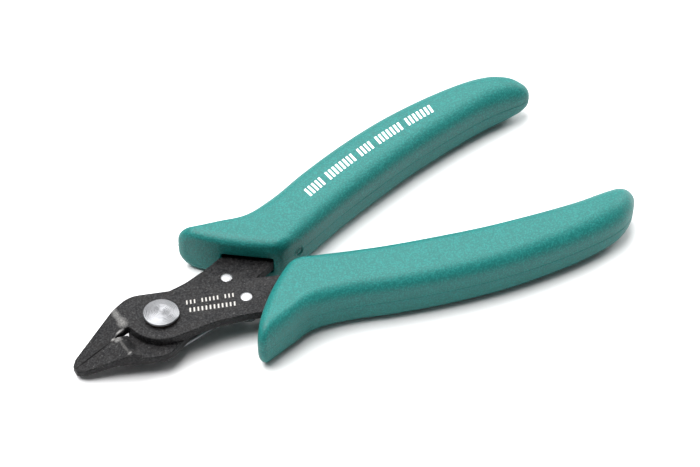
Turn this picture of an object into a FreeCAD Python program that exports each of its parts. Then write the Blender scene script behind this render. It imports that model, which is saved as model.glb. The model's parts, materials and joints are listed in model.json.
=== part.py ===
"""Sprue nippers: two crossed steel blades on a rivet, a hairpin return spring and two moulded grips.

Millimetres.  +X runs from the jaws to the ends of the grips, +Y to the far grip, +Z up off the bench.
The tool is modelled lying flat and closed.  Points are given from the pivot axis, and every finished
piece is shifted so that the origin is under the middle of the whole tool.
"""
import FreeCAD
import Part
import math
import os

from FreeCAD import Vector

# Driving dimensions -----------------------------------------------------------------------------
PIVOT_X = -43.1            # where the pivot axis stands in the finished frame
MID_Z = 5.65               # the plane between the two blades, half way up the grips
PLATE = 1.90               # thickness of each blade
BLADE_GAP = 0.10           # running gap between the two blades
JAW_BEND_X = -8.2          # the jaws turn down from here
JAW_ANGLE = 22.5           # degrees
BEND_RADIUS = 4.0
EDGE_GAP = 0.05            # half of the hairline left between the closed cutting edges
TIP_X = -20.8
TIP_DEPTH = 1.15           # the jaws are ground thinner towards the tip
HEAD_R = 6.85              # round shoulder of each blade about the pivot
RISER_R = 7.4              # foot of the sloped riser that lifts the lower blade's jaw
RISER_SLOPE = 3.0          # how far the riser runs out for each millimetre it climbs
RISER_CLIMB = 6.0          # more than the jaw's height, so that the riser cuts it all

SHANK_R = 2.0              # rivet
SHANK_CLEARANCE = 0.05
RIVET_HEAD_R = 3.92
RIVET_HEAD_H = 0.85
RIVET_EDGE = 0.40
WASHER_R = 3.75
WASHER_H = 0.50
TAIL_R = 3.60
TAIL_H = 0.80
TAIL_BOTTOM_Z = 1.10

EASE = 0.25                # rounding of the blades' upper edges
FACES_UP = 0.85            # a face is a top when its direction points up by at least this share
STANDS_UP = 0.20           # and a wall when it points up or down by no more than this
OVERLAP = 0.01             # so that two shapes which are joined or compared don't just touch
PLAN_LOW = -5.0            # the blades' outlines are drawn out between these heights
PLAN_HIGH = 20.0

PIN_R = 1.30               # the two spring pins
PIN_X = 18.15
PIN_Y = 4.45
PIN_NECK_R = 1.00          # thinner neck that carries the spring
PIN_FOOT_R = 1.40          # foot that keeps the spring on
PIN_FOOT_TOP_Z = 1.50
PIN_BOTTOM_Z = 0.90

WIRE_R = 0.70              # hairpin return spring
WIRE_Z = 2.30
WIRE_CLEARANCE = 0.05      # between the wire and the pins' necks
LOOP_R = 5.60              # the loop behind the rivet
HOOK_END = 105.0           # degrees: where the hook round the far pin ends

GRIP_H = 11.7              # before the underside is cut flat
GRIP_SQUARENESS = 3.3      # exponent of the rounded section
FLAT_CUT = 0.20            # how much the underside loses
FRONT_CORNER = (31.1, 1.65)   # inner end of the front face
FRONT_ANGLE = 141.4        # degrees: the way the front face runs outwards
MOUTH_H = 4.7              # the recess that the blade goes in through, level with the blade
MOUTH_DEPTH = 4.0
MOUTH_FROM = 2.8           # along the front face, from its inner corner
MOUTH_TO = 14.3
MOUTH_CORNER = 0.6
MOUTH_REACH = 4.0          # how far the cutting outline stands in front of the face

TOP_Z = MID_Z + BLADE_GAP / 2 + PLATE
LOW_Z = MID_Z - BLADE_GAP / 2 - PLATE
SLOPE = math.tan(math.radians(JAW_ANGLE))
JAW_DEPTH = PLATE / math.cos(math.radians(JAW_ANGLE))
HOOK_R = PIN_NECK_R + WIRE_R + WIRE_CLEARANCE
BIG = 200.0

# The upper blade seen from above: x, y, corner radius.  The lower blade mirrors it, but its cheek
# stands out further and its cutting edge runs straight on past the relief hole.
UPPER_CHEEK = [(-3.5, 8.6, 6.0)]
LOWER_CHEEK = [(-3.3, 9.4, 5.0)]
JAW_TIP = [
    (-19.7, 2.1, 1.2),
    (TIP_X, 0.9, 0.6),
    (TIP_X, EDGE_GAP, 0.0),
]
UPPER_RELIEF = [
    (-11.2, EDGE_GAP, 0.0),
    (-9.9, 0.60, 0.5),
    (-7.4, 0.60, 0.4),
]
LOWER_RELIEF = [
    (-7.9, EDGE_GAP, 0.4),
]
OUTER_EDGE = [
    (2.8, -HEAD_R - 0.3, 8.0),
    (9.6, -7.6, 12.0),
    (16.2, -9.2, 20.0),
    (22.0, -11.4, 20.0),
    (32.0, -12.6, 20.0),
    (50.0, -17.4, 60.0),
    (70.6, -22.4, 2.4),
]
INNER_EDGE = [
    (72.0, -17.6, 2.4),
    (50.0, -10.9, 60.0),
    (29.3, -3.1, 20.0),
    (22.6, -0.6, 8.0),
    (17.6, 1.3, 12.0),
    (5.0, 5.5, 10.0),
]

# Ribs of the far grip, front to back: inner x, inner y, outer x, outer y, height as a share, and how
# far the rib's middle is bowed forward.
GRIP_RIBS = [
    (29.4, 2.1, 14.4, 15.8, 0.76, 0.0),
    (30.8, 1.9, 13.6, 18.1, 0.93, 0.8),
    (33.0, 2.3, 14.6, 19.3, 1.00, 1.0),
    (35.4, 3.1, 20.6, 18.4, 1.00, 0.6),
    (38.6, 4.1, 28.2, 16.5, 1.00, 0.2),
    (43.5, 5.8, 36.4, 17.4, 1.00, 0.0),
    (51.0, 8.4, 46.0, 20.8, 1.00, 0.0),
    (60.6, 11.3, 57.7, 24.3, 1.00, 0.0),
    (72.0, 14.3, 70.1, 26.9, 1.00, 0.0),
    (84.0, 16.7, 82.5, 28.2, 0.99, 0.0),
    (94.5, 18.2, 94.5, 28.2, 0.96, 0.0),
    (101.4, 18.8, 101.8, 26.7, 0.88, 0.0),
    (105.0, 19.4, 105.0, 25.2, 0.72, 0.0),
    (107.0, 20.6, 107.0, 23.6, 0.44, 0.0),
]
SECTION_POINTS = 20


def rounded_wire(points):
    """A closed flat wire through x, y, radius corners, each corner rounded by a tangent arc."""
    count = len(points)
    edges = []
    previous_end = None
    first_start = None
    for index in range(count):
        here = Vector(points[index][0], points[index][1], 0)
        before = Vector(points[index - 1][0], points[index - 1][1], 0)
        after = Vector(points[(index + 1) % count][0], points[(index + 1) % count][1], 0)
        radius = points[index][2]
        back = (before - here).normalize()
        on = (after - here).normalize()
        half_turn = (math.pi - back.getAngle(on)) / 2
        reach = radius * math.tan(half_turn)
        start = here + back * reach
        end = here + on * reach
        if previous_end is not None and (start - previous_end).Length > 1e-6:
            edges.append(Part.LineSegment(previous_end, start).toShape())
        if first_start is None:
            first_start = start
        if reach > 1e-6:
            middle_way = (back + on).normalize()
            centre = here + middle_way * (radius / math.cos(half_turn))
            middle = centre - middle_way * radius
            edges.append(Part.Arc(start, middle, end).toShape())
        previous_end = end
    edges.append(Part.LineSegment(previous_end, first_start).toShape())
    return Part.Wire(edges)


def prism(wire, low, high):
    """The flat wire made into a solid from height low to height high."""
    solid = Part.Face(wire).extrude(Vector(0, 0, high - low))
    solid.translate(Vector(0, 0, low))
    return solid


def side_prism(points):
    """A solid with the x, z, radius outline as its side view, wide enough to cover the tool."""
    solid = Part.Face(rounded_wire(points)).extrude(Vector(0, 0, 2 * BIG))
    solid.rotate(Vector(0, 0, 0), Vector(1, 0, 0), 90)
    solid.translate(Vector(0, BIG, 0))
    return solid


def jaw_top(x):
    """Height of the jaws' sloping top face."""
    return TOP_Z - SLOPE * (JAW_BEND_X - x)


def blade_plan(side):
    """Outline of a blade from above; side is +1 for the upper blade and -1 for the lower one."""
    shoulder = []
    for degrees in (200, 230, 260):
        angle = math.radians(degrees)
        reach = HEAD_R / math.cos(math.radians(15))
        shoulder.append((reach * math.cos(angle), reach * math.sin(angle), HEAD_R))
    cheek, relief = (UPPER_CHEEK, UPPER_RELIEF) if side > 0 else (LOWER_CHEEK, LOWER_RELIEF)
    points = cheek + JAW_TIP + relief + shoulder + OUTER_EDGE + INNER_EDGE
    return [(x, side * y, radius) for x, y, radius in points]


def middle_normal(face):
    """The outward direction at the middle of a face."""
    low_u, high_u, low_v, high_v = face.ParameterRange
    return face.normalAt((low_u + high_u) / 2, (low_v + high_v) / 2)


def eased(solid):
    """The solid with the edges of its upper faces rounded over, all but the straight cutting edge."""
    tops = [face for face in solid.Faces if middle_normal(face).z > FACES_UP]
    walls = [face for face in solid.Faces if abs(middle_normal(face).z) < STANDS_UP]
    picked = []
    for edge in solid.Edges:
        on_top = any(edge.isSame(other) for face in tops for other in face.Edges)
        on_wall = any(edge.isSame(other) for face in walls for other in face.Edges)
        cutting = all(abs(vertex.Y) < EDGE_GAP + OVERLAP for vertex in edge.Vertexes)
        if on_top and on_wall and not cutting:
            picked.append(edge)
    return solid.makeFillet(EASE, picked)


def make_upper_blade():
    """Flat plate whose jaw is bent down; its tang goes into the near grip."""
    plan = prism(rounded_wire(blade_plan(1)), PLAN_LOW, PLAN_HIGH)
    end_x = TIP_X - 2
    bottom_bend = JAW_BEND_X + (JAW_DEPTH - PLATE) / SLOPE
    profile = side_prism([
        (BIG, TOP_Z, 0.0),
        (JAW_BEND_X, TOP_Z, BEND_RADIUS),
        (end_x, jaw_top(end_x), 0.0),
        (end_x, jaw_top(end_x) - TIP_DEPTH, 0.0),
        (bottom_bend, TOP_Z - PLATE, BEND_RADIUS - PLATE),
        (BIG, TOP_Z - PLATE, 0.0),
    ])
    blade = eased(plan.common(profile))
    blade = blade.cut(upright(0, 0, SHANK_R, PLAN_LOW, PLAN_HIGH))
    return blade.cut(upright(PIN_X, -PIN_Y, PIN_R, PLAN_LOW, PLAN_HIGH)).Solids[0]


def make_lower_blade():
    """Plate under the upper one, with its jaw lifted by a sloped riser to lie level with the other."""
    plan = prism(rounded_wire(blade_plan(-1)), PLAN_LOW, PLAN_HIGH)
    end_x = TIP_X - 2
    foot_z = LOW_Z + PLATE
    foot_x = JAW_BEND_X - (TOP_Z - JAW_DEPTH - LOW_Z) / SLOPE
    plate = plan.common(side_prism([
        (BIG, foot_z, 0.0),
        (foot_x, foot_z, 0.0),
        (foot_x, LOW_Z, 0.0),
        (BIG, LOW_Z, 0.0),
    ]))
    jaw = plan.common(side_prism([
        (JAW_BEND_X, TOP_Z, 0.0),
        (end_x, jaw_top(end_x), 0.0),
        (end_x, jaw_top(end_x) - TIP_DEPTH, 0.0),
        (JAW_BEND_X, TOP_Z - JAW_DEPTH, 0.0),
    ]))
    outer_r = RISER_R + RISER_SLOPE * RISER_CLIMB
    riser = Part.makeCone(RISER_R, outer_r, RISER_CLIMB, Vector(0, 0, foot_z))
    below = upright(0, 0, RISER_R, PLAN_LOW, foot_z + OVERLAP)
    jaw = eased(jaw).cut(riser).cut(below)
    blade = eased(plate).fuse(jaw)
    blade = blade.cut(upright(0, 0, SHANK_R + SHANK_CLEARANCE, PLAN_LOW, PLAN_HIGH))
    return blade.cut(upright(PIN_X, PIN_Y, PIN_R, PLAN_LOW, PLAN_HIGH)).removeSplitter().Solids[0]


def upright(x, y, radius, low, high):
    """A vertical cylinder."""
    return Part.makeCylinder(radius, high - low, Vector(x, y, low))


def turned(points):
    """A turned piece: the r, z outline spun about the pivot axis."""
    corners = [Vector(radius, 0, height) for radius, height in points]
    face = Part.Face(Part.makePolygon(corners + [corners[0]]))
    return face.revolve(Vector(0, 0, 0), Vector(0, 0, 1), 360)


def make_pivot_rivet():
    """Bright headed rivet, with a formed tail that keeps the spring on its shank."""
    seat = TOP_Z + WASHER_H
    crown = seat + RIVET_HEAD_H
    tail_top = TAIL_BOTTOM_Z + TAIL_H
    return turned([
        (0, TAIL_BOTTOM_Z),
        (TAIL_R - RIVET_EDGE, TAIL_BOTTOM_Z),
        (TAIL_R, TAIL_BOTTOM_Z + RIVET_EDGE),
        (TAIL_R, tail_top),
        (SHANK_R, tail_top),
        (SHANK_R, seat),
        (RIVET_HEAD_R, seat),
        (RIVET_HEAD_R, crown - RIVET_EDGE),
        (RIVET_HEAD_R - RIVET_EDGE, crown),
        (0, crown),
    ])


def make_pivot_washer():
    """Thin dark washer between the rivet's head and the upper blade."""
    return turned([
        (SHANK_R, TOP_Z),
        (WASHER_R, TOP_Z),
        (WASHER_R, TOP_Z + WASHER_H),
        (SHANK_R, TOP_Z + WASHER_H),
    ])


def make_spring_pin(side, top):
    """Pin flush with its blade's top face, with a neck below for the spring's hook and a wider foot."""
    body = upright(PIN_X, side * PIN_Y, PIN_R, top - PLATE, top)
    neck = upright(PIN_X, side * PIN_Y, PIN_NECK_R, PIN_BOTTOM_Z, top)
    foot = upright(PIN_X, side * PIN_Y, PIN_FOOT_R, PIN_BOTTOM_Z, PIN_FOOT_TOP_Z)
    return body.fuse(neck).fuse(foot).removeSplitter().Solids[0]


def polar(centre, radius, angle):
    """The point at an angle on a circle at the wire's height."""
    return centre + Vector(radius * math.cos(angle), radius * math.sin(angle), 0)


def make_return_spring():
    """Round-wire hairpin: a loop behind the rivet, and two legs that pass inside the pins and hook them."""
    pivot = Vector(0, 0, WIRE_Z)
    pin = Vector(PIN_X, PIN_Y, WIRE_Z)
    way = math.atan2(PIN_Y, PIN_X) - math.asin((LOOP_R + HOOK_R) / pivot.distanceToPoint(pin))
    leave = way + math.pi / 2
    arrive = way - math.pi / 2
    finish = math.radians(HOOK_END)
    far_half = [
        polar(pivot, LOOP_R, math.pi),
        polar(pivot, LOOP_R, (math.pi + leave) / 2),
        polar(pivot, LOOP_R, leave),
        polar(pin, HOOK_R, arrive),
        polar(pin, HOOK_R, (arrive + finish) / 2),
        polar(pin, HOOK_R, finish),
    ]
    near_half = [Vector(point.x, -point.y, point.z) for point in far_half]
    edges = [
        Part.Arc(far_half[5], far_half[4], far_half[3]).toShape(),
        Part.LineSegment(far_half[3], far_half[2]).toShape(),
        Part.Arc(far_half[2], far_half[0], near_half[2]).toShape(),
        Part.LineSegment(near_half[2], near_half[3]).toShape(),
        Part.Arc(near_half[3], near_half[4], near_half[5]).toShape(),
    ]
    path = Part.Wire(edges)
    start_way = Vector(math.sin(finish), -math.cos(finish), 0)
    section = Part.Wire([Part.Circle(far_half[5], start_way, WIRE_R).toShape()])
    spring = path.makePipeShell([section], True, False)
    print("wire length", round(path.Length, 2), "volume over section",
          round(spring.Volume / (math.pi * WIRE_R ** 2), 2))
    return spring.Solids[0]


def section_wire(rib):
    """Rounded section of the far grip between an inner and an outer point."""
    inner = Vector(rib[0], rib[1], MID_Z)
    outer = Vector(rib[2], rib[3], MID_Z)
    middle = (inner + outer) / 2
    half_width = (outer - inner) / 2
    half_height = GRIP_H * rib[4] / 2
    forward = Vector(-half_width.y, half_width.x, 0).normalize()
    power = 2 / GRIP_SQUARENESS
    points = []
    for index in range(SECTION_POINTS):
        angle = 2 * math.pi * (index + 0.5) / SECTION_POINTS
        across = math.copysign(abs(math.cos(angle)) ** power, math.cos(angle))
        up = math.copysign(abs(math.sin(angle)) ** power, math.sin(angle))
        bowed = middle + half_width * across + forward * (rib[5] * (1 - across ** 2))
        points.append(bowed + Vector(0, 0, half_height * up))
    curve = Part.BSplineCurve()
    curve.interpolate(points, PeriodicFlag=True)
    return Part.Wire([curve.toShape()])


def make_far_grip(tang_z):
    """Moulded grip lofted through its ribs, with a flat underside, a mouth and a slot for the tang."""
    grip = Part.makeLoft([section_wire(rib) for rib in GRIP_RIBS], True, False)
    under = Part.makeBox(2 * BIG, 2 * BIG, BIG, Vector(-BIG, -BIG, MID_Z - GRIP_H / 2 + FLAT_CUT - BIG))
    corner = Vector(FRONT_CORNER[0], FRONT_CORNER[1], 0)
    front_way = math.radians(FRONT_ANGLE)
    along = Vector(math.cos(front_way), math.sin(front_way), 0)
    inward = Vector(along.y, -along.x, 0)
    outline = [
        corner + along * MOUTH_FROM - inward * MOUTH_REACH,
        corner + along * MOUTH_TO - inward * MOUTH_REACH,
        corner + along * MOUTH_TO + inward * MOUTH_DEPTH,
        corner + along * MOUTH_FROM + inward * MOUTH_DEPTH,
    ]
    wire = rounded_wire([(point.x, point.y, MOUTH_CORNER) for point in outline])
    mouth_low = tang_z + (PLATE - MOUTH_H) / 2
    mouth = prism(wire, mouth_low, mouth_low + MOUTH_H)
    tang = prism(rounded_wire(blade_plan(-1)), tang_z, tang_z + PLATE)
    return grip.cut(under).cut(mouth).cut(tang).Solids[0]


def make_near_grip():
    """The same moulding turned over, with its slot at the upper blade's height."""
    return make_far_grip(TOP_Z - PLATE).mirror(Vector(0, 0, 0), Vector(0, 1, 0))


def write(name, shape):
    """Move a finished piece into the tool's frame and export it."""
    placed = shape.copy()
    placed.translate(Vector(PIVOT_X, 0, 0))
    placed.exportStep("parts/" + name + ".step")
    box = placed.BoundBox
    print(name, placed.ShapeType, "solids", len(placed.Solids), "volume", round(placed.Volume, 1),
          "box", [round(value, 2) for value in (box.XMin, box.XMax, box.YMin, box.YMax, box.ZMin, box.ZMax)],
          "valid", placed.isValid())


os.makedirs("parts", exist_ok=True)

write("upper_blade", make_upper_blade())
write("lower_blade", make_lower_blade())
write("pivot_rivet", make_pivot_rivet())
write("pivot_washer", make_pivot_washer())
write("near_spring_pin", make_spring_pin(-1, TOP_Z))
write("far_spring_pin", make_spring_pin(1, LOW_Z + PLATE))
write("return_spring", make_return_spring())
write("far_grip", make_far_grip(LOW_Z))
write("near_grip", make_near_grip())
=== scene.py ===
"""Looks of the sprue nippers: moulded grips, turned rivet, printed marks, materials, light and camera.

Shapes are given in millimetres from the pivot axis and up from the bench, and place() turns them into
metres of the part's own frame. The bumps, the floor, the lights and the camera's distance are in metres.
"""
import json
import math

import bmesh
import bpy
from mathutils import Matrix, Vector
from mathutils.bvhtree import BVHTree


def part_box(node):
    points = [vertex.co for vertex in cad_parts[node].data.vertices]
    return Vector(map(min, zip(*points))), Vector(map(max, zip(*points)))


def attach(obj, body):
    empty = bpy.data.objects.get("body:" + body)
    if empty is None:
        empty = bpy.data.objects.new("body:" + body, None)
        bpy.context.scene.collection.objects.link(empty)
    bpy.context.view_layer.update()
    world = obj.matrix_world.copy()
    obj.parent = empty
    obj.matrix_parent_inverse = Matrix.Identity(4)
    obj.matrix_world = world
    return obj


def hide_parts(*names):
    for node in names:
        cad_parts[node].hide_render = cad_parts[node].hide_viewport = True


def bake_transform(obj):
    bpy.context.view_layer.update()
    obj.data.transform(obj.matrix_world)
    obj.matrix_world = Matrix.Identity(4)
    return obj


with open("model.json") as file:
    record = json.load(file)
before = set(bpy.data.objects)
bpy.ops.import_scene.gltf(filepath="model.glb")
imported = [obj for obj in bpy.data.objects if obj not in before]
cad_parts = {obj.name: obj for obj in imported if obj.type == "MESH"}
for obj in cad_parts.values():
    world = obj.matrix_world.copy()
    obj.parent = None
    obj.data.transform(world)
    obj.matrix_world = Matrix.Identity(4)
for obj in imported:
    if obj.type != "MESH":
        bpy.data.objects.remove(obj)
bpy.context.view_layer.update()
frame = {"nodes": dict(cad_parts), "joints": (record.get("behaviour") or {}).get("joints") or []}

NEAR = "near_handle"
FAR = "far_handle"
MM = 0.001
QUARTER = math.pi / 2
UP = Vector((0, 0, 1))
PIVOT = Vector(frame["joints"][0]["pos_m"])


def place(x, y, z):
    """Millimetres from the pivot axis and the bench to the part's frame."""
    return Vector((PIVOT.x + x * MM, PIVOT.y + y * MM, z * MM))


def in_mm(corners):
    """A box's lowest and highest corners, turned from metres into millimetres of the part's frame."""
    return [Vector(corner) / MM for corner in corners]


RIVET_LOW, RIVET_HIGH = in_mm(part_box("pivot_rivet"))
PIN_LOW, PIN_HIGH = in_mm(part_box("near_spring_pin"))


# Driving sizes of the grips ---------------------------------------------------------------------

# Moulded grip, as on the far side, from just behind the front face to the end. Each rib has its
# inner x and y, outer x and y, height, inner and outer corner radius, and forward bow.
GRIP_RIBS = [
    (33.85, 2.6, 14.85, 19.1, 11.4, 2.6, 4.2, 1.05),
    (35.7, 3.15, 20.8, 17.45, 11.4, 2.9, 3.9, 0.6),
    (38.4, 4.0, 28.0, 15.75, 11.4, 3.1, 3.6, 0.2),
    (43.5, 5.8, 36.4, 17.3, 11.4, 3.2, 3.3, 0.0),
    (51.0, 8.4, 46.0, 20.7, 11.4, 3.2, 3.2, 0.0),
    (60.6, 11.2, 57.7, 24.2, 11.4, 3.3, 3.3, 0.0),
    (72.0, 14.2, 70.1, 26.9, 11.4, 3.4, 3.4, 0.0),
    (84.0, 16.6, 82.5, 28.3, 11.4, 3.5, 3.6, 0.0),
    (93.5, 18.0, 93.2, 28.55, 11.3, 3.7, 3.9, 0.0),
    (99.8, 18.2, 100.0, 27.75, 10.9, 4.0, 4.3, 0.0),
    (103.8, 18.1, 104.0, 25.8, 9.3, 3.9, 4.0, 0.0),
    (106.3, 18.5, 106.4, 23.5, 6.0, 2.7, 2.7, 0.0),
    (107.5, 19.8, 107.6, 22.0, 2.8, 1.3, 1.3, 0.0),
]
HEIGHT, INNER_R, OUTER_R, BOW = range(4, 8)    # a rib's columns after its two points

MID_Z = 5.65                 # height of the mould seam above the bench
STATIONS = 240               # rings from the first rib to the last
SIDE_STEPS = (0.0, 0.04, 0.10, 0.18, 0.27, 0.37, 0.48, 0.60, 0.73, 0.87)    # up a wall, from the seam
ARC_STEPS = 9
TOP_STEPS = 14
TOP_CROWN = 0.22             # how far the middle of the top stands above its edges
SEAM_RISE = 0.07             # how far the mould seam stands out of the walls
MOST_ROUND = 0.49            # a corner's largest radius, as a share of the section's width or height
END_BULGE = 0.25             # how far the middle of the very end stands out
CLOSING_SHARE = 0.35         # the ring before it, as a share of the way in, and how far it stands out
CLOSING_BULGE = 0.16

FRONT_ROUND = 2.5            # how far the front face stands before the first rib
FRONT_STEPS = 12
FACE_EASE = (1.5, 2.0)       # upright rounding of the face's edge, at its inner and outer end
WEDGE = math.radians(33.4)   # angle of the finger guard's point, seen from above
POINT_ROUND = 1.4            # how round that point is
INNER_LEAN = 0.57            # how the inner corner runs outwards as it comes forward
INNER_ROUND = 1.0            # rounding of that corner, seen from above
FLAT_SHARES = (0.75, 0.5, 0.25)    # rings between the mouth's lip and the edge of the front face

MOUTH_FROM = 3.9             # along the front face
MOUTH_TO = 15.4
MOUTH_HALF = 2.2             # half of the mouth's height
MOUTH_OFFSET = 0.85          # how far the mouth is off the middle, towards its own blade
MOUTH_SQUARE = 0.2           # 0 is a rectangle with sharp corners, and 1 is an ellipse
MOUTH_DEPTHS = (4.0, 1.5)    # the back of the mouth, and a ring part of the way along its walls
LIP = 0.3                    # rounding of the mouth's edge
LIP_STEPS = 4

DIMPLE = Vector((35.6, 3.15, MID_Z))      # round mark on the inner wall, on the seam
DIMPLE_INTO = Vector((-0.31, 0.95, 0))    # into the wall
DIMPLE_R = 1.1
DIMPLE_DEPTH = 0.25          # of the groove round the mark
DIMPLE_SUNK = 0.3            # its middle, as a share of the groove's depth
DIMPLE_MIDDLE = 0.5          # where the groove starts, and where the rim round it ends, in radii
DIMPLE_RIM = 1.3
DIMPLE_LIP = 0.12            # how far the rim stands out


# Colours ----------------------------------------------------------------------------------------

TEAL = (0.003, 0.106, 0.096)
TEAL_LIGHT = (0.004, 0.114, 0.103)
TEAL_SPECK = (0.010, 0.174, 0.160)
BLACKED = (0.004, 0.004, 0.005)
BLACKED_THIN = (0.011, 0.010, 0.010)
BLACKED_GRIT = (0.033, 0.033, 0.034)
BARE_FLECK = (0.125, 0.123, 0.120)
WORN_EDGE_AND_HIGHLIGHT = (0.075, 0.074, 0.073)
GAP_SHADE = (0.001, 0.001, 0.001)
TURNED_DARK = (0.125, 0.128, 0.133)
TURNED_LIGHT = (0.225, 0.228, 0.236)
PIN_STEEL = (0.36, 0.362, 0.37)
SPRING_STEEL = (0.20, 0.205, 0.215)
WASHER_BRONZE = (0.12, 0.09, 0.065)
WHITE_INK = (0.88, 0.90, 0.89)
PALE_INK = (0.40, 0.385, 0.36)
FLOOR_DARK = (0.77, 0.77, 0.775)
FLOOR_LIGHT = (0.79, 0.79, 0.792)

# Where the blades' finish differs: centre, radii and colour. The first two are a painted highlight on
# the upper blade's bend. The next two are a painted highlight on the lips by the relief hole, partly metal
# rubbed bright. The fifth is scratches rubbed bright. The third to last is painted shade in the hollow
# behind the lower jaw. The last two are a painted highlight on the lower jaw's shoulder and lip.
SPOTS = [
    # painted highlight on the upper blade's bend
    ((-8.1, 5.4, 7.4), (1.0, 3.0, 1.2), (0.135, 0.133, 0.13)),
    ((-8.0, 2.6, 7.4), (1.4, 1.9, 1.2), (0.15, 0.147, 0.143)),
    # painted highlight on the lips by the relief hole, partly metal rubbed bright
    ((-9.6, 0.75, 7.1), (1.4, 0.5, 0.8), (0.26, 0.255, 0.25)),
    ((-10.6, -0.6, 6.7), (1.3, 0.8, 0.8), (0.20, 0.195, 0.19)),
    ((-11.4, 0.1, 6.3), (0.8, 0.4, 0.8), (0.30, 0.29, 0.28)),
    # painted shade in the hollow behind the lower jaw
    ((-8.9, -3.3, 6.0), (1.5, 2.6, 3.0), (0.002, 0.002, 0.002)),
    # painted highlight on the lower jaw's shoulder and on its lip
    ((-10.45, -2.9, 6.5), (0.42, 3.4, 2.0), (0.07, 0.069, 0.067)),
    ((-10.3, -5.45, 6.5), (0.6, 0.35, 1.0), (0.20, 0.196, 0.19)),
]
SPOT_CORE = 0.35             # the share of a spot's radius that has its full colour

# Painted shade in the gap between the closed cutting edges, one dark line along the jaws: centre and
# radii.
DARK_LINE = ((-16.5, 0.0, 4.5), (6.5, 0.3, 6.5))


# Node helpers -----------------------------------------------------------------------------------

def new_material(name):
    """A material, its node tree, its shader, and the place of each point in the part's frame."""
    material = bpy.data.materials.new(name)
    material.use_nodes = True
    tree = material.node_tree
    where = tree.nodes.new("ShaderNodeTexCoord").outputs["Object"]
    return material, tree, tree.nodes["Principled BSDF"], where


def add(tree, kind, inputs=None, **settings):
    """A node with its settings and the values of its input sockets."""
    node = tree.nodes.new(kind)
    for key, value in settings.items():
        setattr(node, key, value)
    for socket, value in (inputs or {}).items():
        node.inputs[socket].default_value = value
    return node


def noise(tree, where, scale, detail=2.0, rough=0.5):
    node = add(tree, "ShaderNodeTexNoise", {"Scale": scale, "Detail": detail, "Roughness": rough})
    tree.links.new(where, node.inputs["Vector"])
    return node.outputs["Fac"]


def spread(tree, value, low, high, to_low, to_high):
    """Map a value from one span to another, clamped."""
    spans = {"From Min": low, "From Max": high, "To Min": to_low, "To Max": to_high}
    node = add(tree, "ShaderNodeMapRange", spans)
    tree.links.new(value, node.inputs["Value"])
    return node.outputs["Result"]


def blend_colours(tree, factor, first, second):
    """A mix of two colours, each given as a tuple or as a socket."""
    node = add(tree, "ShaderNodeMix", data_type="RGBA")
    tree.links.new(factor, node.inputs["Factor"])
    first_socket, second_socket = [socket for socket in node.inputs if socket.type == "RGBA"]
    for socket, colour in ((first_socket, first), (second_socket, second)):
        if isinstance(colour, tuple):
            socket.default_value = (*colour, 1)
        else:
            tree.links.new(colour, socket)
    return next(socket for socket in node.outputs if socket.type == "RGBA")


def bump(tree, shader, height, distance, strength, below=None):
    """A bump in metres on the shader's normal, on top of another bump if one is given."""
    node = add(tree, "ShaderNodeBump", {"Distance": distance, "Strength": strength})
    tree.links.new(height, node.inputs["Height"])
    if below is not None:
        tree.links.new(below, node.inputs["Normal"])
    tree.links.new(node.outputs["Normal"], shader.inputs["Normal"])
    return node.outputs["Normal"]


def times(tree, first, second):
    node = add(tree, "ShaderNodeMath", operation="MULTIPLY")
    tree.links.new(first, node.inputs[0])
    tree.links.new(second, node.inputs[1])
    return node.outputs[0]


def away_from(tree, where, centre):
    """The way from a point given in millimetres to each point of the surface."""
    node = add(tree, "ShaderNodeVectorMath", {1: place(*centre)}, operation="SUBTRACT")
    tree.links.new(where, node.inputs[0])
    return node.outputs[0]


def spot(tree, where, centre, radii):
    """One inside of an ellipsoid given in millimetres from the pivot, fading to zero at its skin."""
    away = away_from(tree, where, centre)
    sizes = [radius * MM for radius in radii]
    scaled = add(tree, "ShaderNodeVectorMath", {1: sizes}, operation="DIVIDE")
    tree.links.new(away, scaled.inputs[0])
    length = add(tree, "ShaderNodeVectorMath", operation="LENGTH")
    tree.links.new(scaled.outputs[0], length.inputs[0])
    return spread(tree, length.outputs["Value"], SPOT_CORE, 1.0, 1.0, 0.0)


def edge_mask(tree, radius, low, high):
    """One along sharp edges, within a radius in metres, fading to zero on flat faces."""
    rounded = add(tree, "ShaderNodeBevel", {"Radius": radius}, samples=6)
    surface = add(tree, "ShaderNodeNewGeometry")
    dot = add(tree, "ShaderNodeVectorMath", operation="DOT_PRODUCT")
    tree.links.new(rounded.outputs["Normal"], dot.inputs[0])
    tree.links.new(surface.outputs["Normal"], dot.inputs[1])
    return spread(tree, dot.outputs["Value"], 1 - low, 1 - high, 0.0, 1.0)


# Materials --------------------------------------------------------------------------------------

def grip_material():
    """Teal vinyl with a fine sandy grain."""
    material, tree, shader, where = new_material("grip_teal")
    grain = noise(tree, where, 2800, 3.0, 0.6)
    fine = noise(tree, where, 4600, 2.0, 0.6)
    cloud = noise(tree, where, 90, 3.0)
    base = blend_colours(tree, spread(tree, cloud, 0.3, 0.7, 0.0, 1.0), TEAL, TEAL_LIGHT)
    specks = spread(tree, grain, 0.46, 0.62, 0.0, 1.0)
    colour = blend_colours(tree, specks, base, TEAL_SPECK)
    tree.links.new(colour, shader.inputs["Base Color"])
    tree.links.new(spread(tree, grain, 0.3, 0.7, 0.38, 0.56), shader.inputs["Roughness"])
    shader.inputs["Specular IOR Level"].default_value = 0.29
    low = bump(tree, shader, fine, 0.00003, 0.8)
    bump(tree, shader, grain, 0.00009, 0.9, low)
    return material


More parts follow.
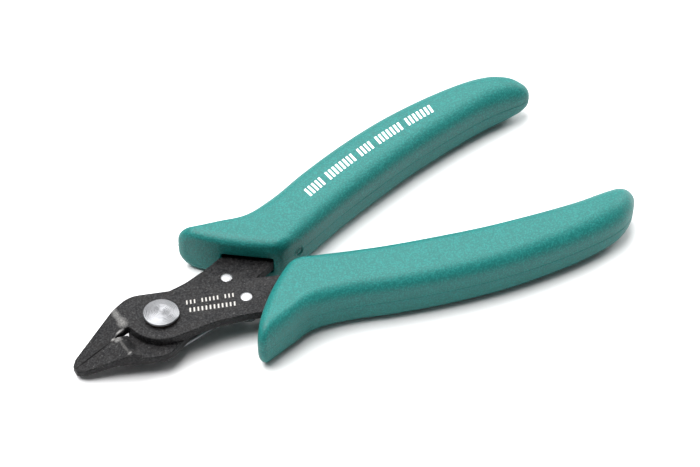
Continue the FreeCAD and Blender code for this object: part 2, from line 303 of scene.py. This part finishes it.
def blade_material():
    """Blackened steel, finely blasted, with bare flecks, worn edges that carry a painted highlight, rubbed
    scratches, and painted highlights and painted shade in places.
    """
    material, tree, shader, where = new_material("blade_black")
    grain = noise(tree, where, 2400, 3.0, 0.65)
    blotch = noise(tree, where, 420, 4.0, 0.6)
    fleck = noise(tree, where, 1700, 4.0, 0.7)
    thin = spread(tree, blotch, 0.35, 0.65, 0.0, 1.0)
    colour = blend_colours(tree, thin, BLACKED, BLACKED_THIN)
    grit = spread(tree, grain, 0.42, 0.66, 0.0, 1.0)
    colour = blend_colours(tree, grit, colour, BLACKED_GRIT)
    bare = spread(tree, fleck, 0.60, 0.74, 0.0, 0.7)
    colour = blend_colours(tree, bare, colour, BARE_FLECK)
    patchy = spread(tree, grain, 0.30, 0.62, 0.25, 1.0)
    # worn edges, with a painted highlight along them
    edges = times(tree, edge_mask(tree, 0.00018, 0.02, 0.16), patchy)
    colour = blend_colours(tree, edges, colour, WORN_EDGE_AND_HIGHLIGHT)
    # painted highlights, painted shade and rubbed scratches from SPOTS, made patchy by the grain
    for centre, radii, tint in SPOTS:
        colour = blend_colours(tree, times(tree, spot(tree, where, centre, radii), patchy), colour, tint)
    # painted shade in the gap between the closed cutting edges
    colour = blend_colours(tree, spot(tree, where, *DARK_LINE), colour, GAP_SHADE)
    tree.links.new(colour, shader.inputs["Base Color"])
    shader.inputs["Metallic"].default_value = 0.35
    tree.links.new(spread(tree, grain, 0.3, 0.7, 0.40, 0.62), shader.inputs["Roughness"])
    shader.inputs["Specular IOR Level"].default_value = 0.13
    bump(tree, shader, grain, 0.00014, 1.0)
    return material


def bright_material(name, tint, rough):
    """Bare metal with a faint smear and a fine grain."""
    material, tree, shader, where = new_material(name)
    grain = noise(tree, where, 2500, 3.0, 0.6)
    smear = noise(tree, where, 700, 3.0, 0.6)
    colour = blend_colours(tree, smear, tint, tuple(0.88 * part for part in tint))
    tree.links.new(colour, shader.inputs["Base Color"])
    shader.inputs["Metallic"].default_value = 1.0
    tree.links.new(spread(tree, smear, 0.3, 0.7, rough - 0.04, rough + 0.06), shader.inputs["Roughness"])
    bump(tree, shader, grain, 0.000012, 0.5)
    return material


def turned_material():
    """Rivet steel: fine rings about the pivot axis left by the tool."""
    material, tree, shader, where = new_material("turned_steel")
    about = away_from(tree, where, (0, 0, 0))
    rings = add(tree, "ShaderNodeTexWave", {"Scale": 900, "Distortion": 1.2, "Detail": 1.0},
                wave_type="RINGS", rings_direction="Z")
    tree.links.new(about, rings.inputs["Vector"])
    pits = noise(tree, where, 3000, 3.0, 0.65)
    colour = blend_colours(tree, pits, TURNED_DARK, TURNED_LIGHT)
    tree.links.new(colour, shader.inputs["Base Color"])
    shader.inputs["Metallic"].default_value = 1.0
    tree.links.new(spread(tree, rings.outputs["Fac"], 0.0, 1.0, 0.30, 0.42), shader.inputs["Roughness"])
    low = bump(tree, shader, pits, 0.00003, 0.7)
    bump(tree, shader, rings.outputs["Fac"], 0.00004, 0.9, low)
    return material


def print_material(name, tint):
    """Thin opaque ink, a little patchy."""
    material, tree, shader, where = new_material(name)
    worn = noise(tree, where, 2600, 3.0, 0.6)
    thin = tuple(0.82 * part for part in tint)
    colour = blend_colours(tree, spread(tree, worn, 0.35, 0.6, 0.0, 1.0), thin, tint)
    tree.links.new(colour, shader.inputs["Base Color"])
    tree.links.new(spread(tree, worn, 0.3, 0.7, 0.45, 0.6), shader.inputs["Roughness"])
    return material


def floor_material():
    """Matt white, very slightly mottled."""
    material, tree, shader, where = new_material("floor_white")
    mottle = noise(tree, where, 30, 2.0)
    colour = blend_colours(tree, mottle, FLOOR_DARK, FLOOR_LIGHT)
    tree.links.new(colour, shader.inputs["Base Color"])
    shader.inputs["Roughness"].default_value = 0.9
    shader.inputs["Specular IOR Level"].default_value = 0.1
    return material


# Mesh helpers -----------------------------------------------------------------------------------

def finish_mesh(name, bm, material, sharp_degrees):
    """Close up a bmesh into an object, smooth but for its sharp edges."""
    bmesh.ops.remove_doubles(bm, verts=bm.verts, dist=1e-7)
    bmesh.ops.recalc_face_normals(bm, faces=bm.faces)
    sharp = math.radians(sharp_degrees)
    for face in bm.faces:
        face.smooth = True
    for edge in bm.edges:
        edge.smooth = len(edge.link_faces) == 2 and edge.calc_face_angle(0) < sharp
    mesh = bpy.data.meshes.new(name)
    bm.to_mesh(mesh)
    bm.free()
    piece = bpy.data.objects.new(name, mesh)
    bpy.context.scene.collection.objects.link(piece)
    mesh.materials.append(material)
    return piece


def skin(bm, rings):
    """Faces between closed rings of points; a ring of one point is a tip."""
    made = [[bm.verts.new(point) for point in ring] for ring in rings]
    for first, second in zip(made, made[1:]):
        count = max(len(first), len(second))
        for index in range(count):
            after = (index + 1) % count
            corners = [first[index % len(first)], first[after % len(first)],
                       second[after % len(second)], second[index % len(second)]]
            unique = list(dict.fromkeys(corners))
            if len(unique) > 2:
                bm.faces.new(unique)


def lathe(name, profile, centre, material, turns):
    """A turned piece from an r, z profile in millimetres about a vertical axis at centre x, y."""
    angles = [2 * math.pi * turn / turns for turn in range(turns)]
    x, y = centre
    rings = []
    for radius, height in profile:
        if radius == 0:
            rings.append([place(x, y, height)])
            continue
        rings.append([place(x + radius * math.cos(angle), y + radius * math.sin(angle), height)
                      for angle in angles])
    bm = bmesh.new()
    skin(bm, rings)
    return finish_mesh(name, bm, material, 40)


# Grips ------------------------------------------------------------------------------------------

def smooth_rib(position):
    """The rib at a place between 0 (front) and 1 (end), on smooth curves through GRIP_RIBS."""
    last = len(GRIP_RIBS) - 1
    scaled = position * last
    index = min(int(scaled), last - 1)
    part = scaled - index
    square = part * part
    cube = square * part
    nearby = [GRIP_RIBS[min(max(step, 0), last)] for step in range(index - 1, index + 3)]
    values = []
    for before, here, after, later in zip(*nearby):
        lead = (after - before) / 2
        leave = (later - here) / 2
        values.append((2 * cube - 3 * square + 1) * here + (cube - 2 * square + part) * lead
                      + (3 * square - 2 * cube) * after + (cube - square) * leave)
    return values


def wall_points(across, out, straight):
    """One wall of a section, from the seam up to where its corner starts."""
    return [(across + out * (0.0 if step else SEAM_RISE), straight * step) for step in SIDE_STEPS]


def grip_section(width, rib):
    """Points (across, up) of a section: flat underside, lightly crowned top, a seam line half way up."""
    height = rib[HEIGHT]
    half = height / 2
    inner_r = min(rib[INNER_R], MOST_ROUND * width, MOST_ROUND * height)
    outer_r = min(rib[OUTER_R], MOST_ROUND * width, MOST_ROUND * height)
    flat = width - inner_r - outer_r
    upper = wall_points(0.0, -1, half - inner_r)
    for step in range(ARC_STEPS):
        angle = QUARTER * step / ARC_STEPS
        upper.append((inner_r - inner_r * math.cos(angle), half - inner_r + inner_r * math.sin(angle)))
    for step in range(TOP_STEPS + 1):
        upper.append((inner_r + flat * (step / TOP_STEPS), half))
    for step in range(1, ARC_STEPS + 1):
        angle = QUARTER * step / ARC_STEPS
        across = width - outer_r + outer_r * math.sin(angle)
        upper.append((across, half - outer_r + outer_r * math.cos(angle)))
    upper += wall_points(width, 1, half - outer_r)[::-1]
    lower = [(across, -up) for across, up in upper[-2:0:-1]]
    crowned = []
    for across, up in upper:
        off_middle = 2 * across / width - 1
        crowned.append((across, up + TOP_CROWN * (1 - off_middle * off_middle) * (up / half)))
    return crowned + lower


def rib_frame(rib):
    """A rib's inner point, its width, and the directions along it and forward of it."""
    inner = Vector((rib[0], rib[1], 0))
    across = Vector((rib[2], rib[3], 0)) - inner
    along = across.normalized()
    return inner, across.length, along, Vector((-along.y, along.x, 0))


def bowed(rib, share):
    """How far a bowed rib stands forward at a share of its width."""
    return rib[BOW] * 4 * share * (1 - share)


def front_rings(rib):
    """Rings that round the front face's edge; the last of them bounds the flat of the face."""
    inner, width, along, forward = rib_frame(rib)
    section = grip_section(width, rib)
    half = rib[HEIGHT] / 2
    lean = 1 / math.tan(WEDGE)
    point_u = width + (FRONT_ROUND - POINT_ROUND) * lean - POINT_ROUND * math.hypot(1, lean)
    rings = []
    for step in range(1, FRONT_STEPS + 1):
        angle = QUARTER * step / FRONT_STEPS
        ahead = FRONT_ROUND * math.sin(angle)
        ease = 1 - math.cos(angle)
        low_u = INNER_LEAN * ahead + INNER_ROUND * ease
        past = ahead - (FRONT_ROUND - POINT_ROUND)
        high_u = point_u + math.sqrt(max(POINT_ROUND ** 2 - past ** 2, 0)) - ease
        ring = []
        for across, up in section:
            share = across / width
            inset = ease * (FACE_EASE[0] + (FACE_EASE[1] - FACE_EASE[0]) * share)
            u = low_u + (high_u - low_u) * share
            v = up * (half - inset) / half
            ring.append(inner + along * u + forward * (ahead + bowed(rib, share)) + UP * (MID_Z + v))
        rings.append(ring)
    return rings


def mouth_ring(face, rib, middle_z, ahead, grow):
    """The mouth's outline, with one point in line with each point of the front face's edge."""
    inner, width, along, forward = rib_frame(rib)
    centre_u = (MOUTH_FROM + MOUTH_TO) / 2
    half_u = (MOUTH_TO - MOUTH_FROM) / 2 + grow
    half_v = MOUTH_HALF + grow
    ring = []
    for point in face:
        offset = point - inner
        angle = math.atan2((offset.z - middle_z) * half_u / half_v, offset.dot(along) - centre_u)
        u = centre_u + math.copysign(abs(math.cos(angle)) ** MOUTH_SQUARE, math.cos(angle)) * half_u
        v = math.copysign(abs(math.sin(angle)) ** MOUTH_SQUARE, math.sin(angle)) * half_v
        stand = ahead + bowed(rib, u / width)
        ring.append(inner + along * u + forward * stand + UP * (middle_z + v))
    return ring


def mouth_rings(face, rib, middle_z):
    """The mouth from the middle of its back out along its walls and over its lip."""
    walls = [mouth_ring(face, rib, middle_z, FRONT_ROUND - depth, 0.0) for depth in MOUTH_DEPTHS]
    lip = []
    for step in range(LIP_STEPS, -1, -1):
        angle = QUARTER * step / LIP_STEPS
        ahead = FRONT_ROUND - LIP * (1 - math.cos(angle))
        lip.append(mouth_ring(face, rib, middle_z, ahead, LIP * (1 - math.sin(angle))))
    back = [sum(walls[0], Vector()) / len(walls[0])]
    return [back] + walls + lip


def flat_rings(face, lip_edge, rib):
    """The bowed flat of the front face, from the mouth's lip out to the edge of the face."""
    inner, width, along, forward = rib_frame(rib)
    rings = []
    for share in FLAT_SHARES:
        ring = []
        for point, goal in zip(face, lip_edge):
            between = point.lerp(goal, share)
            offset = between - inner
            stand = FRONT_ROUND + bowed(rib, min(max(offset.dot(along) / width, 0), 1))
            ring.append(between + forward * (stand - offset.dot(forward)))
        rings.append(ring)
    return rings


def dimpled(point):
    """A point of the grip, moved where the round mark with its groove and rim is."""
    reach = (point - DIMPLE).length / DIMPLE_R
    if reach >= DIMPLE_RIM:
        return point
    if reach < DIMPLE_MIDDLE:
        push = DIMPLE_DEPTH * DIMPLE_SUNK
    elif reach < 1:
        over = (reach - DIMPLE_MIDDLE) / (1 - DIMPLE_MIDDLE)
        push = DIMPLE_DEPTH * (DIMPLE_SUNK * (1 - over) + math.sin(math.pi * over))
    else:
        push = -DIMPLE_LIP * math.sin(math.pi * (reach - 1) / (DIMPLE_RIM - 1))
    return point + DIMPLE_INTO * push


def body_rings():
    """The grip from its first rib to its rounded end."""
    rings = []
    for station in range(STATIONS + 1):
        rib = smooth_rib(station / STATIONS)
        inner, width, along, forward = rib_frame(rib)
        ring = []
        for across, up in grip_section(width, rib):
            stand = forward * bowed(rib, across / width)
            ring.append(dimpled(inner + along * across + stand + UP * (MID_Z + up)))
        rings.append(ring)
    last = rings[-1]
    tip = sum(last, Vector()) / len(last) + Vector((END_BULGE, 0, 0))
    closing = [point.lerp(tip, CLOSING_SHARE) + Vector((CLOSING_BULGE, 0, 0)) for point in last]
    return rings + [closing, [tip]]


def make_grip(name, side, body, material):
    """One moulding; side +1 is the far grip and -1 its mirror image."""
    first = GRIP_RIBS[0]
    front = front_rings(first)
    face = front[-1]
    mouth = mouth_rings(face, first, MID_Z - side * MOUTH_OFFSET)
    flat = flat_rings(face, mouth[-1], first)
    rings = mouth + flat + front[::-1] + body_rings()
    bm = bmesh.new()
    skin(bm, [[place(point.x, side * point.y, point.z) for point in ring] for ring in rings])
    piece = finish_mesh(name + "_moulding", bm, material, 50)
    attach(piece, body)
    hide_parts(name)
    return piece


# Turned pieces and the spring -------------------------------------------------------------------

def rivet_head(top, rim, shank):
    """Outline of the head: flat and finely grooved in the middle, then falling away to its rim."""
    centre = 0.26            # radius of the centre mark
    groove_pitch = 0.40
    groove_half = 0.10
    groove_depth = 0.035
    flat = 2.0
    edge = top - 0.40        # where the fall ends
    seat = top - 0.85
    outline = [(0, top - 0.06), (0.14, top - 0.05), (centre, top)]
    for groove in range(1, 5):
        radius = centre + groove_pitch * groove
        outline += [(radius - groove_half, top), (radius, top - groove_depth), (radius + groove_half, top)]
    outline += [(flat, top), (flat + 0.12, top - 0.02)]
    outline += [(rim - 0.22, edge), (rim - 0.07, edge - 0.06), (rim, edge - 0.16)]
    outline += [(rim, seat + 0.06), (rim - 0.06, seat), (shank, seat)]
    return outline


def rivet_tail(bottom, shank):
    """Outline of the peened tail, with its rounded edge and a shallow dish in its middle."""
    radius = 3.6
    top = bottom + 0.8
    edge = 0.45
    steps = 5
    outline = [(shank, top), (radius - 0.1, top), (radius, top - 0.1)]
    for step in range(steps + 1):
        angle = QUARTER * step / steps
        outline.append((radius - edge * (1 - math.cos(angle)), bottom + edge * (1 - math.sin(angle))))
    return outline + [(1.4, bottom), (1.1, bottom + 0.12), (0, bottom + 0.2)]


def make_rivet(material):
    """Rivet with a turned head, a shank and a peened tail."""
    shank = 2.0
    rim = RIVET_HIGH.x - PIVOT.x / MM
    profile = rivet_head(RIVET_HIGH.z, rim, shank) + rivet_tail(RIVET_LOW.z, shank)
    piece = lathe("rivet_turned", profile, (0, 0), material, 96)
    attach(piece, NEAR)
    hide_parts("pivot_rivet")


def make_pin(name, body, material):
    """Spring pin with a slightly crowned top, a neck for the spring's hook and a wider foot."""
    low, high = in_mm(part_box(name))
    centre = ((low.x + high.x) / 2 - PIVOT.x / MM, (low.y + high.y) / 2)
    foot = (high.x - low.x) / 2
    radius = foot - 0.1
    neck = foot - 0.4
    plate = 1.9              # a blade's thickness
    neck_top = high.z - plate
    foot_top = low.z + 0.6
    profile = [
        (0, high.z + 0.05),
        (radius * 0.55, high.z + 0.035),
        (radius - 0.14, high.z),
        (radius, high.z - 0.12),
        (radius, neck_top),
        (neck, neck_top),
        (neck, foot_top),
        (foot - 0.06, foot_top),
        (foot, foot_top - 0.06),
        (foot, low.z + 0.18),
        (foot - 0.18, low.z),
        (0, low.z),
    ]
    piece = lathe(name + "_turned", profile, centre, material, 64)
    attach(piece, body)
    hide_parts(name)


def arc(centre, radius, start, end, steps):
    """Points of a level arc, both ends included."""
    angles = [start + (end - start) * step / steps for step in range(steps + 1)]
    return [centre + Vector((radius * math.cos(angle), radius * math.sin(angle), 0)) for angle in angles]


def spring_path(pin, loop, hook, height):
    """The far half of the hairpin's centre line, from the hook's end to the back of the loop."""
    pivot = UP * height
    way = math.atan2(pin.y, pin.x) - math.asin((loop + hook) / (pin - pivot).length)
    hook_end = math.radians(105)
    round_pin = arc(pin, hook, hook_end, way - QUARTER, 20)
    round_pivot = arc(pivot, loop, way + QUARTER, math.pi, 24)
    leg_steps = 10
    leg = [round_pin[-1].lerp(round_pivot[0], step / leg_steps) for step in range(1, leg_steps)]
    return round_pin + leg + round_pivot


def wire_end(end, beside, rim):
    """A rounded end of the wire: the ring that closes in, and the tip."""
    way = (end - beside).normalized()
    eased = [point + (end - point) * 0.3 + way * 0.08 for point in rim]
    return eased, [end + way * 0.1]


def tube_rings(path, radius):
    """Rings of a round wire along a level path, with a rounded end at each end of it."""
    sides = 20
    rings = []
    for index, point in enumerate(path):
        ahead = path[min(index + 1, len(path) - 1)]
        behind = path[max(index - 1, 0)]
        out = (ahead - behind).cross(UP).normalized()
        angles = [2 * math.pi * step / sides for step in range(sides)]
        rings.append([point + out * (radius * math.cos(angle)) + UP * (radius * math.sin(angle))
                      for angle in angles])
    first_eased, first_tip = wire_end(path[0], path[1], rings[0])
    last_eased, last_tip = wire_end(path[-1], path[-2], rings[-1])
    return [first_tip, first_eased] + rings + [last_eased, last_tip]


def make_spring(material):
    """Hairpin of round wire: a loop behind the rivet and two legs that hook round the pins' necks."""
    low, high = in_mm(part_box("return_spring"))
    wire = (high.z - low.z) / 2
    height = (high.z + low.z) / 2
    middle = (PIN_LOW + PIN_HIGH) / 2
    pin = Vector((middle.x - PIVOT.x / MM, abs(middle.y), height))
    hook = high.x - PIVOT.x / MM - wire - pin.x
    loop = PIVOT.x / MM - low.x - wire
    half = spring_path(pin, loop, hook, height)
    path = half + [Vector((point.x, -point.y, point.z)) for point in half[-2::-1]]
    bm = bmesh.new()
    skin(bm, [[place(*point) for point in ring] for ring in tube_rings(path, wire)])
    piece = finish_mesh("spring_wire_hairpin", bm, material, 50)
    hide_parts("return_spring")
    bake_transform(piece)


# Printed marks ----------------------------------------------------------------------------------

def bar(middle, way, width, height, slant):
    """One slanted bar of a printed row, as a grid of points on the plan."""
    columns = 2
    rows = 6
    side = Vector((-way.y, way.x))
    grid = []
    for row in range(rows + 1):
        up = height * (row / rows - 0.5)
        base = middle + side * up + way * (up * slant)
        grid.append([base + way * (width * (column / columns - 0.5)) for column in range(columns + 1)])
    return grid


def bar_row(start, end, pitch, width, height, slant, gaps=(), bow=0.0):
    """Evenly spaced bars from start to end, less the ones whose number is in gaps."""
    start = Vector(start)
    end = Vector(end)
    length = (end - start).length
    count = int(length / pitch)
    way = (end - start).normalized()
    side = Vector((-way.y, way.x))
    bars = []
    for number in range(count + 1):
        if number in gaps:
            continue
        share = number / count
        turned = way + side * (4 * bow * (1 - 2 * share) / length)
        middle = start.lerp(end, share) + side * (bow * 4 * share * (1 - share))
        bars.append(bar(middle, turned.normalized(), width, height, slant))
    return bars


def lay_print(name, target, bars, body, material, rise):
    """Thin printed bars laid on the top of a piece, standing a rise in millimetres above it."""
    above = 40               # millimetres, well over the tool
    target_bm = bmesh.new()
    target_bm.from_mesh(target.data)
    tree = BVHTree.FromBMesh(target_bm)
    target_bm.free()
    bm = bmesh.new()
    for grid in bars:
        rows = []
        for line in grid:
            hits = [tree.ray_cast(place(point.x, point.y, above), -UP)[0] for point in line]
            rows.append([bm.verts.new(hit + UP * (rise * MM)) for hit in hits])
        for first, second in zip(rows, rows[1:]):
            for index in range(len(first) - 1):
                bm.faces.new((first[index], first[index + 1], second[index + 1], second[index]))
    made = bmesh.ops.extrude_face_region(bm, geom=list(bm.faces))
    lowered = [item for item in made["geom"] if isinstance(item, bmesh.types.BMVert)]
    bmesh.ops.translate(bm, verts=lowered, vec=UP * (-2 * rise * MM))
    piece = finish_mesh(name, bm, material, 30)
    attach(piece, body)


# Stage ------------------------------------------------------------------------------------------

def make_floor():
    """Wide plain floor, a hair below the bench level so that it never touches an underside."""
    bm = bmesh.new()
    bmesh.ops.create_grid(bm, x_segments=2, y_segments=2, size=3.0)
    floor = finish_mesh("floor", bm, floor_material(), 32)
    floor.location.z = -0.0001


def area_light(name, position, size, power):
    """A soft light that faces the tool."""
    data = bpy.data.lights.new(name, "AREA")
    data.shape = "RECTANGLE"
    data.size, data.size_y = size
    data.energy = power
    light = bpy.data.objects.new(name, data)
    bpy.context.scene.collection.objects.link(light)
    light.location = position
    light.rotation_euler = (-Vector(position)).to_track_quat("-Z", "Y").to_euler()


def make_world():
    """Faint, slightly cool light from all round."""
    world = bpy.data.worlds.new("studio")
    world.use_nodes = True
    background = world.node_tree.nodes["Background"]
    background.inputs["Color"].default_value = (0.97, 0.985, 1.0, 1)
    background.inputs["Strength"].default_value = 0.16
    bpy.context.scene.world = world


def make_camera():
    """Camera at the photograph's angle: azimuth, elevation and distance from a point on the tool."""
    azimuth = math.radians(-30.95)
    elevation = math.radians(44.85)
    distance = 0.5108
    target = place(48.29, 2.74, 5.0)
    level = math.cos(elevation)
    back = Vector((math.sin(azimuth) * level, -math.cos(azimuth) * level, math.sin(elevation)))
    data = bpy.data.cameras.new("camera")
    data.lens = 118.8
    data.sensor_width = 36
    data.clip_start = 0.01
    data.clip_end = 20
    camera = bpy.data.objects.new("camera", data)
    bpy.context.scene.collection.objects.link(camera)
    camera.location = target + back * distance
    camera.rotation_euler = (-back).to_track_quat("-Z", "Y").to_euler()
    bpy.context.scene.camera = camera


# The object -------------------------------------------------------------------------------------

def dress(node, material):
    """Give a carried-over CAD node its finished material."""
    piece = frame["nodes"][node]
    piece.data.materials.clear()
    piece.data.materials.append(material)


grip_teal = grip_material()
blade_black = blade_material()
turned_steel = turned_material()
pin_steel = bright_material("pin_steel", PIN_STEEL, rough=0.46)
spring_steel = bright_material("spring_steel", SPRING_STEEL, rough=0.34)
washer_bronze = bright_material("washer_bronze", WASHER_BRONZE, rough=0.42)
grip_ink = print_material("grip_ink", WHITE_INK)
blade_ink = print_material("blade_ink", PALE_INK)

dress("upper_blade", blade_black)
dress("lower_blade", blade_black)
dress("pivot_washer", washer_bronze)

far_moulding = make_grip("far_grip", 1, FAR, grip_teal)
make_grip("near_grip", -1, NEAR, grip_teal)
make_rivet(turned_steel)
make_pin("near_spring_pin", NEAR, pin_steel)
make_pin("far_spring_pin", FAR, pin_steel)
make_spring(spring_steel)

grip_bars = bar_row((43.6, 12.9), (81.6, 22.4), pitch=1.15, width=0.62, height=2.5, slant=0.25,
                    gaps=(5, 14, 19, 27), bow=1.1)
lay_print("grip_marks", far_moulding, grip_bars, FAR, grip_ink, rise=0.02)
blade_bars = bar_row((6.4, 0.5), (15.9, -2.6), pitch=0.82, width=0.30, height=1.15, slant=0.1, gaps=(3, 9))
blade_bars += bar_row((6.0, -1.8), (15.0, -5.0), pitch=0.82, width=0.34, height=1.2, slant=0.1)
lay_print("blade_marks", frame["nodes"]["upper_blade"], blade_bars, NEAR, blade_ink, rise=0.012)

make_floor()
make_world()
area_light("overhead_soft", (-0.40, 0.45, 1.80), size=(1.9, 1.7), power=92)
area_light("sheen_soft", (1.10, 1.85, 1.80), size=(1.6, 1.6), power=38)
area_light("fill_right", (1.70, 0.30, 1.00), size=(1.0, 1.0), power=28)
make_camera()
bpy.context.scene.view_settings.view_transform = "Standard"
